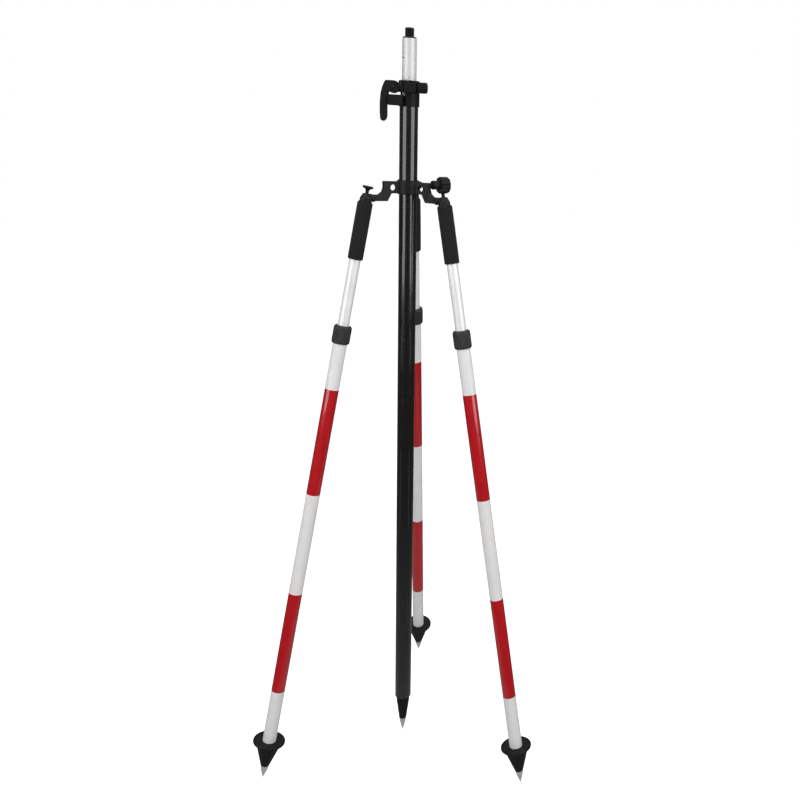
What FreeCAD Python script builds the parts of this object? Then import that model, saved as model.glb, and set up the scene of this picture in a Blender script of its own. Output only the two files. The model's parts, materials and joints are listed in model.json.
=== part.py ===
import FreeCAD, Part
import Sketcher

import math
import os

# Surveyor's pole tripod: a telescopic pole with a lever clamp, held upright by a head with three
# thumb-release telescopic legs.
#
# Row frame, millimetres: the origin is the pole's steel point on the ground, +Z is up the pole.
# The left, right and back legs stand 120 degrees apart, and the lever clamp faces -Y.

DIMENSIONS = {
    # stance
    "spread_angle": 10.75,
    "hinge_radius": 68.1,
    "hinge_height": 1107.4,
    "running_gap": 0.05,
    # pole
    "pole_diameter": 32.0,
    "pole_wall": 1.5,
    "pole_tube_foot": 85.0,
    "pole_tube_top": 1281.0,
    "boot_diameter": 26.0,
    "boot_taper_top": 75.0,
    "boot_nose_diameter": 15.0,
    "boot_spigot": 30.0,
    "point_length": 31.0,
    "point_diameter": 14.0,
    "point_shank_diameter": 8.0,
    "point_shank": 20.0,
    "upper_diameter": 25.0,
    "upper_foot": 301.0,
    "upper_top": 1376.0,
    "detent_height": 1344.0,
    "detent_diameter": 3.2,
    "bush_length": 18.0,
    "bush_spigot": 20.0,
    "stud_diameter": 15.88,
    "stud_length": 15.0,
    "stud_bevel": 1.2,
    "flange_diameter": 23.0,
    "flange_thickness": 2.5,
    "adapter_spigot": 25.0,
    # lever clamp
    "clamp_foot": 1264.0,
    "clamp_diameter": 36.0,
    "clamp_slot_foot": 1282.6,
    "clamp_slot": 5.0,
    "clamp_top": 1307.0,
    "clamp_split_place": -6.5,
    "clamp_split": 2.0,
    "ear_reach": 27.0,
    "slot_back": 8.0,
    "ear_right": 15.0,
    "ear_left": -11.0,
    "block_left": -33.0,
    "notch_place": 8.0,
    "notch_depth": 6.0,
    "cam_place": -24.0,
    "cam_height": 1295.5,
    "bolt_offset": 18.5,
    "bolt_diameter": 5.0,
    "eye_diameter": 11.0,
    "eye_width": 6.0,
    "cam_pin_diameter": 5.0,
    "cam_pin_length": 13.0,
    "cam_radius": 10.5,
    "cam_throw": 0.4,
    "cam_flat": 10.0,
    "fork_reach": 7.0,
    "lever_width": 12.0,
    "lever_reach": 22.7,
    "lever_thickness": 11.8,
    "lever_drop": 57.4,
    "recess_depth": 1.2,
    "saddle_thickness": 2.0,
    "saddle_diameter": 16.0,
    "nut_gap": 0.3,
    "nut_bevel": 2.0,
    "nut_diameter": 18.2,
    "nut_length": 18.5,
    # head
    "hub_foot": 1115.5,
    "hub_height": 22.0,
    "hub_diameter": 40.0,
    "liner_thickness": 1.15,
    "liner_flange_diameter": 37.4,
    "liner_flange": 1.3,
    "liner_slit": 1.5,
    "arm_thickness": 8.0,
    "arm_reach": 47.0,
    "arm_drop": 12.0,
    "window_place": 28.9,
    "window_height": 10.0,
    "window_diameter": 11.0,
    "tongue_diameter": 11.0,
    "pin_diameter": 5.0,
    "pin_head_diameter": 9.0,
    "pin_head_thickness": 1.8,
    "screw_height": 15.0,
    "boss_diameter": 13.0,
    "boss_reach": 24.5,
    "screw_diameter": 8.0,
    "pad_diameter": 10.0,
    "pad_length": 6.0,
    "knob_diameter": 30.0,
    "knob_collar_diameter": 16.0,
    "knob_collar": 46.0,
    "knob_inner": 57.6,
    "knob_outer": 78.0,
    # leg top: heights above the hinge pin, along the leg
    "hinge_offset": 9.5,
    "cheek_diameter": 13.0,
    "cheek_gap": 8.4,
    "cheek_span": 18.4,
    "slot_depth": 5.8,
    "cap_diameter": 20.8,
    "cap_top_diameter": 13.0,
    "cap_foot": -8.0,
    "cap_shoulder": -3.0,
    "cap_top": 5.5,
    "spigot_foot": -34.0,
    "rod_diameter": 4.0,
    "rod_top": 15.0,
    "collar_diameter": 12.0,
    "collar_thickness": 3.0,
    "button_diameter": 18.6,
    "button_foot": 5.0,
    "button_stem_diameter": 6.0,
    "stem_well_foot": 0.5,
    "button_cone_foot": 11.0,
    "button_disc_foot": 14.5,
    "button_rim_top": 17.3,
    "button_top": 19.0,
    "button_cone_diameter": 12.0,
    "button_travel": 4.0,
    "spring_diameter": 10.0,
    "spring_wire": 0.9,
    "spring_pitch": 3.0,
    "spring_length": 18.0,
    "guide_length": 8.0,
    "grip_diameter": 27.0,
    "grip_top": -8.0,
    "grip_foot": -110.6,
    "grip_bevel": 3.0,
    # leg tubes: the inner tube hangs from the leg top, the outer one stands on its spike
    "inner_diameter": 20.0,
    "inner_wall": 1.5,
    "inner_length": 840.0,
    "lock_length": 34.0,
    "lock_taper_small": 9.0,
    "lock_taper_large": 17.0,
    "lock_slit": 1.2,
    "lock_spigot": 15.0,
    "lock_root": 5.0,
    "outer_diameter": 25.0,
    "outer_wall": 1.2,
    "outer_foot": 56.0,
    "outer_top": 884.0,
    "collar_foot": 866.0,
    "leg_collar_top": 899.2,
    "leg_collar_diameter": 32.0,
    "leg_collar_bevel": 2.0,
    "band_thickness": 0.2,
    "band_length": 200.0,
    "lower_band_foot": 186.0,
    "upper_band_foot": 581.6,
    "plate_diameter": 60.0,
    "plate_foot": 76.2,
    "plate_top": 80.2,
    "foot_cone_large": 48.0,
    "foot_cone_small": 16.5,
    "spike_length": 27.0,
    "spike_diameter": 15.5,
    "spike_shank_diameter": 8.0,
    "spike_shank": 20.0,
}

LEG_AZIMUTHS = {"left": -150.0, "right": -30.0, "back": 90.0}
SCREW_AZIMUTH = 30.0
DETENT_AZIMUTH = -138.0


class Size:
    """A length or angle that knows its value and the sheet expression that gives it."""

    def __init__(self, value, text):
        self.value = value
        self.text = text

    def __add__(self, other):
        other = as_size(other)
        return Size(self.value + other.value, "(%s + %s)" % (self.text, other.text))

    def __sub__(self, other):
        other = as_size(other)
        return Size(self.value - other.value, "(%s - %s)" % (self.text, other.text))

    def __rsub__(self, other):
        return as_size(other) - self

    def __mul__(self, other):
        other = as_size(other)
        return Size(self.value * other.value, "%s * %s" % (self.text, other.text))

    def __truediv__(self, other):
        other = as_size(other)
        return Size(self.value / other.value, "%s / %s" % (self.text, other.text))

    def __neg__(self):
        return Size(-self.value, "(0 - %s)" % self.text)


def as_size(number):
    return number if isinstance(number, Size) else Size(float(number), "%g" % number)


class Sheet:
    """The driving dimensions, readable as size.alias."""

    def __init__(self, document):
        self.cells = document.addObject("Spreadsheet::Sheet", "Dimensions")
        for row, (alias, number) in enumerate(DIMENSIONS.items(), start=1):
            self.cells.set("A%d" % row, alias)
            self.cells.set("B%d" % row, "%g" % number)
            self.cells.setAlias("B%d" % row, alias)
            setattr(self, alias, Size(number, "Dimensions." + alias))


doc = FreeCAD.newDocument("SurveyorTripod")
size = Sheet(doc)
doc.recompute()
exported = []
ZERO = as_size(0)


# ---------------------------------------------------------------- modelling helpers

def origin_plane(body, role):
    return next(item for item in body.Origin.OriginFeatures if item.Role == role)


def new_body(label, export=True):
    body = doc.addObject("PartDesign::Body", label)
    body.Label = label
    if export:
        exported.append(body)
    return body


def new_sketch(body, role, name, offset=None):
    """Start a sketch on an origin plane, or a set distance along the plane's normal."""
    sketch = body.newObject("Sketcher::SketchObject", body.Name + "_" + name)
    sketch.AttachmentSupport = (origin_plane(body, role), "")
    sketch.MapMode = "FlatFace"
    if offset is not None:
        sketch.setExpression(".AttachmentOffset.Base.z", offset.text)
    return sketch


def bind_constraint(sketch, kind, references, length):
    index = sketch.addConstraint(Sketcher.Constraint(kind, *references, length.value))
    sketch.setExpression("Constraints[%d]" % index, length.text)


def draw_outline(sketch, corners):
    """Draw a closed outline of straight sides; corners are (across, up) pairs of sizes."""
    corners = [(as_size(across), as_size(up)) for across, up in corners]
    points = [FreeCAD.Vector(across.value, up.value, 0) for across, up in corners]
    first = sketch.GeometryCount
    count = len(points)
    for index, point in enumerate(points):
        sketch.addGeometry(Part.LineSegment(point, points[(index + 1) % count]), False)
    for index in range(count):
        following = first + (index + 1) % count
        sketch.addConstraint(Sketcher.Constraint("Coincident", first + index, 2, following, 1))
    for index, (across, up) in enumerate(corners):
        bind_constraint(sketch, "DistanceX", (-1, 1, first + index, 1), across)
        bind_constraint(sketch, "DistanceY", (-1, 1, first + index, 1), up)


def draw_circle(sketch, across, up, radius):
    across, up = as_size(across), as_size(up)
    centre = FreeCAD.Vector(across.value, up.value, 0)
    circle = Part.Circle(centre, FreeCAD.Vector(0, 0, 1), radius.value)
    index = sketch.addGeometry(circle, False)
    bind_constraint(sketch, "DistanceX", (-1, 1, index, 3), across)
    bind_constraint(sketch, "DistanceY", (-1, 1, index, 3), up)
    bind_constraint(sketch, "Radius", (index,), radius)


def extrude(kind, body, sketch, length, side="One side", reverse=False):
    feature = body.newObject("PartDesign::" + kind, sketch.Name + "_" + kind.lower())
    feature.Profile = sketch
    feature.SideType = side
    feature.Reversed = reverse
    feature.setExpression("Length", as_size(length).text)
    return feature


def pad_outline(body, role, name, corners, length, side="Symmetric", reverse=False):
    sketch = new_sketch(body, role, name)
    draw_outline(sketch, corners)
    return extrude("Pad", body, sketch, length, side, reverse)


def pad_circle(body, role, name, circle, length, side="Symmetric", reverse=False):
    sketch = new_sketch(body, role, name)
    draw_circle(sketch, *circle)
    return extrude("Pad", body, sketch, length, side, reverse)


def cut_outline(body, role, name, corners, length, side="Symmetric", reverse=False, offset=None):
    sketch = new_sketch(body, role, name, offset)
    draw_outline(sketch, corners)
    return extrude("Pocket", body, sketch, length, side, reverse)


def cut_circle(body, role, name, circle, length, side="Symmetric", reverse=False, offset=None):
    sketch = new_sketch(body, role, name, offset)
    draw_circle(sketch, *circle)
    return extrude("Pocket", body, sketch, length, side, reverse)


def box_corners(left, low, right, high):
    return [(left, low), (right, low), (right, high), (left, high)]


def turn_profile(body, corners, name="profile"):
    """Turn an outline of (radius, height) corners about the body's own Z axis."""
    sketch = new_sketch(body, "XZ_Plane", name)
    draw_outline(sketch, corners)
    feature = body.newObject("PartDesign::Revolution", sketch.Name + "_revolution")
    feature.Profile = sketch
    feature.ReferenceAxis = (sketch, ["V_Axis"])
    feature.Angle = 360.0
    return feature


def turned(label, corners, placement, export=True):
    body = new_body(label, export)
    turn_profile(body, corners)
    body.Placement = placement
    return body


def sleeve(inner, outer, low, high):
    return [(inner, low), (outer, low), (outer, high), (inner, high)]


def solid_rod(radius, low, high):
    return sleeve(ZERO, radius, low, high)


def repeat_about_axis(body, sketch, features, count):
    doc.recompute()
    pattern = body.newObject("PartDesign::PolarPattern", body.Name + "_pattern")
    pattern.Originals = features
    pattern.Axis = (sketch, ["N_Axis"])
    pattern.Angle = 360.0
    pattern.Occurrences = count
    body.Tip = pattern
    return pattern


def placed(across=0.0, depth=0.0, up=0.0, rotation=FreeCAD.Rotation()):
    return FreeCAD.Placement(FreeCAD.Vector(across, depth, up), rotation)


def turn_about_z(degrees):
    return FreeCAD.Rotation(FreeCAD.Vector(0, 0, 1), degrees)


def grouped(label, members):
    group = doc.addObject("Part::Compound", label)
    group.Label = label
    group.Links = members
    exported.append(group)
    return group


# ---------------------------------------------------------------- the pole

STANDING = placed()


def build_pole():
    outside = size.pole_diameter / 2
    inside = outside - size.pole_wall
    foot = size.pole_tube_foot
    turned("pole_outer_tube", sleeve(inside, outside, foot, size.pole_tube_top), STANDING)

    nose = size.point_length
    shank_radius = size.point_shank_diameter / 2
    shank_top = nose + size.point_shank
    boot_radius = size.boot_diameter / 2
    turned("pole_boot", [
        (ZERO, shank_top), (shank_radius, shank_top), (shank_radius, nose),
        (size.boot_nose_diameter / 2, nose), (boot_radius, size.boot_taper_top),
        (boot_radius, foot), (inside, foot), (inside, foot + size.boot_spigot),
        (ZERO, foot + size.boot_spigot),
    ], STANDING)
    turned("pole_point", [
        (ZERO, ZERO), (size.point_diameter / 2, nose), (shank_radius, nose),
        (shank_radius, shank_top), (ZERO, shank_top),
    ], STANDING)


def build_pole_upper():
    outside = size.upper_diameter / 2
    inside = outside - size.pole_wall
    foot = size.upper_foot
    top = size.upper_top
    tube = new_body("inner_pole_tube")
    turn_profile(tube, sleeve(inside, outside, foot, top))
    # A pocket on the YZ plane grows towards -X, so it cuts one wall only.
    cut_circle(tube, "YZ_Plane", "detent_hole",
               (ZERO, size.detent_height, size.detent_diameter / 2), outside + 1, "One side")
    tube.Placement = placed(rotation=turn_about_z(DETENT_AZIMUTH - 180))

    bush_radius = size.pole_diameter / 2 - size.pole_wall - size.running_gap
    turned("pole_end_bush", [
        (ZERO, foot - size.bush_length), (bush_radius, foot - size.bush_length),
        (bush_radius, foot), (inside, foot), (inside, foot + size.bush_spigot),
        (ZERO, foot + size.bush_spigot),
    ], STANDING)

    flange_top = top + size.flange_thickness
    stud_radius = size.stud_diameter / 2
    stud_top = flange_top + size.stud_length
    turned("instrument_stud", [
        (ZERO, top - size.adapter_spigot), (inside, top - size.adapter_spigot), (inside, top),
        (size.flange_diameter / 2, top), (size.flange_diameter / 2, flange_top),
        (stud_radius, flange_top), (stud_radius, stud_top - size.stud_bevel),
        (stud_radius - size.stud_bevel, stud_top), (ZERO, stud_top),
    ], STANDING)


# ---------------------------------------------------------------- the lever clamp

def build_clamp_body():
    """A collar glued to the pole, with a split band above a slot that grips the upper section."""
    body = new_body("lever_clamp_body")
    foot = size.clamp_foot
    top = size.clamp_top
    slot_foot = size.clamp_slot_foot
    slot_top = slot_foot + size.clamp_slot
    outside = size.clamp_diameter / 2
    reach = size.ear_reach
    split_half = size.clamp_split / 2
    split_left = size.clamp_split_place - split_half
    split_right = size.clamp_split_place + split_half
    notch_left = size.notch_place - size.notch_depth

    turn_profile(body, solid_rod(outside, foot, top))
    # The XZ plane's normal is -Y, the side the clamp faces: pads grow that way as they are, and
    # pockets once they are reversed.
    pad_outline(body, "XZ_Plane", "right_ear",
                box_corners(split_left, slot_top, size.ear_right, top), reach, "One side")
    pad_outline(body, "XZ_Plane", "left_ear",
                box_corners(size.ear_left, slot_top, split_right, top), reach, "One side")
    pad_outline(body, "XZ_Plane", "base_block",
                box_corners(size.block_left, foot + 1, split_right, slot_foot), reach - 1,
                "One side")
    cut_outline(body, "XZ_Plane", "slot",
                box_corners(size.block_left - 1, slot_foot, split_right, slot_top),
                reach + size.slot_back + 1, "One side", True, -size.slot_back)
    cut_outline(body, "XZ_Plane", "split",
                box_corners(split_left, foot - 1, split_right, top + 1), reach + 1,
                "One side", True)
    cut_outline(body, "XZ_Plane", "notch", [
        (notch_left - size.notch_depth, top + 1), (size.notch_place, top - size.notch_depth),
        (size.ear_right + 1, top + 1),
    ], reach + 1, "One side", True, size.slot_back * 2)
    cut_outline(body, "YZ_Plane", "cam_flat",
                box_corners(-reach - 1, slot_top - 1, -size.cam_flat, top + 1),
                outside, "One side", False, size.ear_left)
    cut_circle(body, "XY_Plane", "pole_seat", (ZERO, ZERO, size.pole_diameter / 2),
               size.pole_tube_top, "One side", True)
    upper_bore = size.upper_diameter / 2 + size.running_gap
    cut_circle(body, "XY_Plane", "upper_bore", (ZERO, ZERO, upper_bore), top + 1,
               "One side", True)
    cut_circle(body, "YZ_Plane", "bolt_bore",
               (-size.bolt_offset, size.cam_height, size.bolt_diameter / 2 + size.running_gap),
               outside * 2)
    return body


def build_clamp_hardware():
    bolt_radius = size.bolt_diameter / 2
    nut_foot = size.ear_right + size.nut_gap
    nut_end = nut_foot + size.nut_length
    along_x = FreeCAD.Rotation(FreeCAD.Vector(0, 1, 0), 90)
    across = placed(0, -size.bolt_offset.value, size.cam_height.value, along_x)

    bolt = new_body("clamp_bolt")
    turn_profile(bolt, solid_rod(bolt_radius, size.cam_place, nut_end - 1), "shank")
    eye = (ZERO, size.cam_place, size.eye_diameter / 2)
    pad_circle(bolt, "XZ_Plane", "eye", eye, size.eye_width)
    cut_circle(bolt, "XZ_Plane", "eye_bore",
               (ZERO, size.cam_place, size.cam_pin_diameter / 2), size.eye_width * 2)
    bolt.Placement = across

    nut_radius = size.nut_diameter / 2
    bevel = size.nut_bevel
    turned("clamp_nut", [
        (bolt_radius, nut_foot), (nut_radius - bevel, nut_foot), (nut_radius, nut_foot + bevel),
        (nut_radius, nut_end - 1), (nut_radius - 1, nut_end), (ZERO, nut_end),
        (ZERO, nut_end - 1), (bolt_radius, nut_end - 1),
    ], across)

    saddle_foot = size.ear_left - size.saddle_thickness
    turned("cam_saddle", sleeve(bolt_radius + size.running_gap, size.saddle_diameter / 2,
                                saddle_foot, size.ear_left), across)

    along_y = FreeCAD.Rotation(FreeCAD.Vector(1, 0, 0), 90)
    pin_place = placed(size.cam_place.value, -size.bolt_offset.value, size.cam_height.value, along_y)
    half_pin = size.cam_pin_length / 2
    turned("cam_pin", solid_rod(size.cam_pin_diameter / 2, -half_pin, half_pin), pin_place)


def build_cam_lever():
    """The lever in its own frame: the cam pin is the origin, the closed handle hangs down."""
    body = new_body("cam_lever")
    radius = size.cam_radius
    throw = size.cam_throw
    crown = radius - throw
    reach = size.lever_reach
    drop = size.lever_drop
    inner = reach - size.lever_thickness
    pad_circle(body, "XZ_Plane", "cam", (throw, -throw, radius), size.lever_width)
    pad_outline(body, "XZ_Plane", "handle", [
        (0, crown), (10.2 - reach, crown), (7.7 - reach, 7.7), (4.2 - reach, -0.6),
        (1.5 - reach, -10.6), (-reach, -25.5), (-reach, 13.7 - drop), (0.9 - reach, 3.2 - drop),
        (3.7 - reach, -drop), (6.9 - reach, -drop), (10.5 - reach, 3.7 - drop),
        (-inner, 7.2 - drop), (0.1 - inner, -33.8), (-inner, -18.8), (-7.4, -7.4), (0, 0),
    ], size.lever_width)
    cut_outline(body, "XZ_Plane", "fork",
                box_corners(-size.fork_reach, -size.fork_reach, radius * 2, radius * 2),
                size.eye_width + size.running_gap * 8)
    pin_bore = size.cam_pin_diameter / 2 + size.running_gap
    cut_circle(body, "XZ_Plane", "pin_bore", (ZERO, ZERO, pin_bore), size.lever_width * 2)

    recess = [(12.1, 8.9), (-0.2, -2.3), (-5.4, -7.1), (-10.6, -18.3), (30, -18.3), (30, 8.9)]
    depth = size.recess_depth
    floor = size.lever_width / 2 - depth
    cut_outline(body, "XZ_Plane", "front_recess", recess, depth + 1, "One side", True, floor)
    cut_outline(body, "XZ_Plane", "back_recess", recess, depth + 1, "One side", False, -floor)
    body.Placement = placed(size.cam_place.value, -size.bolt_offset.value, size.cam_height.value)
    return body


# ---------------------------------------------------------------- the head

def liner_outside():
    return size.pole_diameter / 2 + size.running_gap + size.liner_thickness


def build_head():
    """The hub and its three arms; local height 0 is the hub's foot."""
    body = new_body("head_casting")
    height = size.hub_height
    hinge_up = size.hinge_height - size.hub_foot
    tongue = size.tongue_diameter / 2
    arm_foot = hinge_up - tongue
    arm_top = height - 1

    hub_sketch = new_sketch(body, "XY_Plane", "hub")
    draw_circle(hub_sketch, ZERO, ZERO, size.hub_diameter / 2)
    extrude("Pad", body, hub_sketch, height)
    # A reversed pad on the YZ plane grows towards -X, between two arms.
    pad_circle(body, "YZ_Plane", "boss", (ZERO, size.screw_height, size.boss_diameter / 2),
               size.boss_reach, "One side", True)

    arm = pad_outline(body, "XZ_Plane", "arm", [
        (size.hub_diameter / 2 - 2, 0), (size.hub_diameter / 2 - 2, arm_top),
        (size.arm_reach, arm_top), (size.arm_reach, height - size.arm_drop),
        (size.arm_reach + 2, 3), (size.arm_reach + 9, hinge_up + tongue),
        (size.hinge_radius, hinge_up + tongue), (size.hinge_radius, arm_foot),
        (size.arm_reach - 7.5, arm_foot), (size.arm_reach - 15, 0),
    ], size.arm_thickness)
    end = pad_circle(body, "XZ_Plane", "tongue", (size.hinge_radius, hinge_up, tongue),
                     size.arm_thickness)
    window = cut_circle(body, "XZ_Plane", "window",
                        (size.window_place, size.window_height, size.window_diameter / 2),
                        size.arm_thickness * 2)
    pin = cut_circle(body, "XZ_Plane", "pin_bore",
                     (size.hinge_radius, hinge_up, size.pin_diameter / 2),
                     size.arm_thickness * 2)
    repeat_about_axis(body, hub_sketch, [arm, end, window, pin], len(LEG_AZIMUTHS))

    cut_circle(body, "XY_Plane", "liner_bore",
               (ZERO, ZERO, liner_outside() + size.running_gap), height * 3)
    cut_circle(body, "YZ_Plane", "screw_bore",
               (ZERO, size.screw_height, size.screw_diameter / 2 + size.running_gap),
               size.boss_reach + 1, "One side")
    cut_circle(body, "YZ_Plane", "pad_bore",
               (ZERO, size.screw_height, size.pad_diameter / 2 + size.running_gap),
               liner_outside() + size.pad_length * 2, "One side")
    body.Placement = placed(up=size.hub_foot.value, rotation=turn_about_z(SCREW_AZIMUTH - 180))
    return body


def build_liner():
    inside = size.pole_diameter / 2 + size.running_gap
    flange = size.liner_flange_diameter / 2
    foot = size.hub_foot - size.running_gap
    top = size.hub_foot + size.hub_height + size.running_gap
    body = new_body("head_liner")
    turn_profile(body, [
        (inside, foot - size.liner_flange), (flange, foot - size.liner_flange), (flange, foot),
        (liner_outside(), foot), (liner_outside(), top), (flange, top),
        (flange, top + size.liner_flange), (inside, top + size.liner_flange),
    ])
    cut_outline(body, "XZ_Plane", "slit",
                box_corners(-flange - 1, foot - size.liner_flange - 1, 2 - inside,
                            top + size.liner_flange + 1), size.liner_slit)


def build_knob():
    """The pressure pad, its screw and the knob, along the screw's own axis."""
    outward = turn_about_z(SCREW_AZIMUTH) * FreeCAD.Rotation(FreeCAD.Vector(0, 1, 0), 90)
    place = placed(up=size.hub_foot.value + size.screw_height.value, rotation=outward)
    pad_face = liner_outside() + size.running_gap
    pad_back = pad_face + size.pad_length
    turned("pressure_pad", solid_rod(size.pad_diameter / 2, pad_face, pad_back), place)

    screw_tip = pad_back + size.running_gap
    screw_end = size.knob_inner + 14
    screw_radius = size.screw_diameter / 2
    turned("clamp_screw", solid_rod(screw_radius, screw_tip, screw_end), place)

    knob_radius = size.knob_diameter / 2
    collar_radius = size.knob_collar_diameter / 2
    turned("clamp_knob", [
        (screw_radius, size.knob_collar), (collar_radius, size.knob_collar),
        (collar_radius, size.knob_inner), (knob_radius - 5, size.knob_inner),
        (knob_radius, size.knob_inner + 4), (knob_radius, size.knob_outer - 2),
        (knob_radius - 2, size.knob_outer), (ZERO, size.knob_outer), (ZERO, screw_end),
        (screw_radius, screw_end),
    ], place)


# ---------------------------------------------------------------- the legs

def leg_frames(azimuth):
    """Return the placements of a leg's top, beside its hinge pin, and of its spike's tip."""
    tilt = math.radians(size.spread_angle.value)
    top_radius = size.hinge_radius.value + size.hinge_offset.value * math.cos(tilt)
    top_height = size.hinge_height.value + size.hinge_offset.value * math.sin(tilt)
    tip_radius = top_radius + top_height * math.tan(tilt)
    lean = FreeCAD.Rotation(FreeCAD.Vector(0, 1, 0), -size.spread_angle.value)
    rotation = turn_about_z(azimuth) * lean
    outward = turn_about_z(azimuth).multVec(FreeCAD.Vector(1, 0, 0))
    top = FreeCAD.Placement(outward * top_radius + FreeCAD.Vector(0, 0, top_height), rotation)
    tip = FreeCAD.Placement(outward * tip_radius, rotation)
    return top, tip


def build_leg_head(side, top):
    """The cap on the leg's inner tube, with two cheeks that straddle the head's arm."""
    body = new_body(side + "_leg_head")
    bore = size.rod_diameter / 2 + size.running_gap
    cap = size.cap_diameter / 2
    spigot = size.inner_diameter / 2 - size.inner_wall
    turn_profile(body, [
        (bore, size.spigot_foot), (spigot, size.spigot_foot), (spigot, size.cap_foot),
        (cap, size.cap_foot), (cap, size.cap_shoulder), (size.cap_top_diameter / 2, size.cap_top),
        (bore, size.cap_top),
    ])
    cheek = size.cheek_diameter / 2
    pad_outline(body, "XZ_Plane", "cheeks",
                box_corners(-size.hinge_offset, -cheek, -bore - 1, size.cap_top),
                size.cheek_span)
    pad_circle(body, "XZ_Plane", "cheek_ends", (-size.hinge_offset, ZERO, cheek), size.cheek_span)
    cut_outline(body, "XZ_Plane", "slot",
                box_corners(-size.hinge_offset - cheek * 2, -size.slot_depth,
                            size.slot_depth - size.hinge_offset, size.cap_top * 3),
                size.cheek_gap)
    cut_circle(body, "XZ_Plane", "pin_bore",
               (-size.hinge_offset, ZERO, size.pin_diameter / 2 + size.running_gap),
               size.cheek_span * 2)
    cut_circle(body, "XY_Plane", "rod_bore", (ZERO, ZERO, bore), size.inner_length)
    well = size.button_stem_diameter / 2 + size.running_gap
    cut_circle(body, "XY_Plane", "stem_well", (ZERO, ZERO, well), size.cap_top * 2,
               "One side", True, size.stem_well_foot)
    body.Placement = top


def build_button(side, top):
    stem = size.button_stem_diameter / 2
    cone = size.button_cone_diameter / 2
    rim = size.button_diameter / 2
    rod = size.rod_diameter / 2
    turned(side + "_thumb_button", [
        (rod, size.button_foot), (stem, size.button_foot), (stem, size.button_cone_foot),
        (cone, size.button_disc_foot), (rim, size.button_disc_foot), (rim, size.button_rim_top),
        (rim - 2, size.button_top), (ZERO, size.button_top), (ZERO, size.rod_top),
        (rod, size.rod_top),
    ], top)


def lock_heights():
    """Heights of the wedge's lock below the leg's top: the tube's end and the lock's own foot."""
    tube_foot = size.cap_foot - size.inner_length
    return tube_foot, tube_foot - size.lock_length


def build_rod(side, top):
    tube_foot, lock_foot = lock_heights()
    rod = size.rod_diameter / 2
    collar = size.collar_diameter / 2
    collar_top = size.spigot_foot - size.running_gap
    collar_foot = collar_top - size.collar_thickness
    wedge_large = size.lock_taper_large / 2 - size.running_gap * 4
    wedge_small = size.lock_taper_small / 2 - size.running_gap * 4
    turned(side + "_push_rod", [
        (ZERO, lock_foot), (rod, lock_foot), (rod, collar_foot), (collar, collar_foot),
        (collar, collar_top), (rod, collar_top), (rod, size.rod_top), (ZERO, size.rod_top),
    ], top)
    turned(side + "_lock_wedge", [
        (rod, lock_foot), (wedge_large, lock_foot), (wedge_small, tube_foot), (rod, tube_foot),
    ], top)

    spring = new_body(side + "_return_spring")
    wire = new_sketch(spring, "XZ_Plane", "wire")
    guide_top = collar_foot - size.spring_length
    coil_margin = size.spring_wire / 2 + size.running_gap
    draw_circle(wire, size.spring_diameter / 2, guide_top + coil_margin, size.spring_wire / 2)
    coil = spring.newObject("PartDesign::AdditiveHelix", spring.Name + "_coil")
    coil.Profile = wire
    coil.ReferenceAxis = (wire, ["V_Axis"])
    coil.Mode = "pitch-height-angle"
    coil.setExpression("Pitch", size.spring_pitch.text)
    coil.setExpression("Height", (size.spring_length - coil_margin * 2).text)
    spring.Placement = top

    tube_inside = size.inner_diameter / 2 - size.inner_wall
    turned(side + "_rod_guide", sleeve(rod + size.running_gap, tube_inside,
                                       guide_top - size.guide_length, guide_top), top)


def build_lock_shoe(side, top):
    """A split expander on the inner tube's end: the wedge drawn up into it grips the outer tube."""
    tube_foot, lock_foot = lock_heights()
    outside = size.outer_diameter / 2 - size.outer_wall - size.running_gap
    tube_inside = size.inner_diameter / 2 - size.inner_wall
    body = new_body(side + "_lock_shoe")
    spigot_top = tube_foot + size.lock_spigot
    turn_profile(body, [
        (size.lock_taper_large / 2, lock_foot), (outside, lock_foot), (outside, tube_foot),
        (tube_inside, tube_foot), (tube_inside, spigot_top),
        (size.lock_taper_small / 2, spigot_top), (size.lock_taper_small / 2, tube_foot),
    ])
    slit = box_corners(-outside * 2, lock_foot - 1, outside * 2, tube_foot - size.lock_root)
    for role in ("XZ_Plane", "YZ_Plane"):
        cut_outline(body, role, "slit_" + role[:2], slit, size.lock_slit)
    body.Placement = top


def build_leg_upper(side, top):
    tube = size.inner_diameter / 2
    tube_foot, _ = lock_heights()
    turned(side + "_inner_tube", sleeve(tube - size.inner_wall, tube, tube_foot, size.cap_foot),
           top)
    grip = size.grip_diameter / 2
    bevel = size.grip_bevel
    turned(side + "_foam_grip", [
        (tube, size.grip_foot), (grip - 1, size.grip_foot), (grip, size.grip_foot + 1),
        (grip, size.grip_top - bevel), (grip - bevel, size.grip_top), (tube, size.grip_top),
    ], top)


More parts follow.
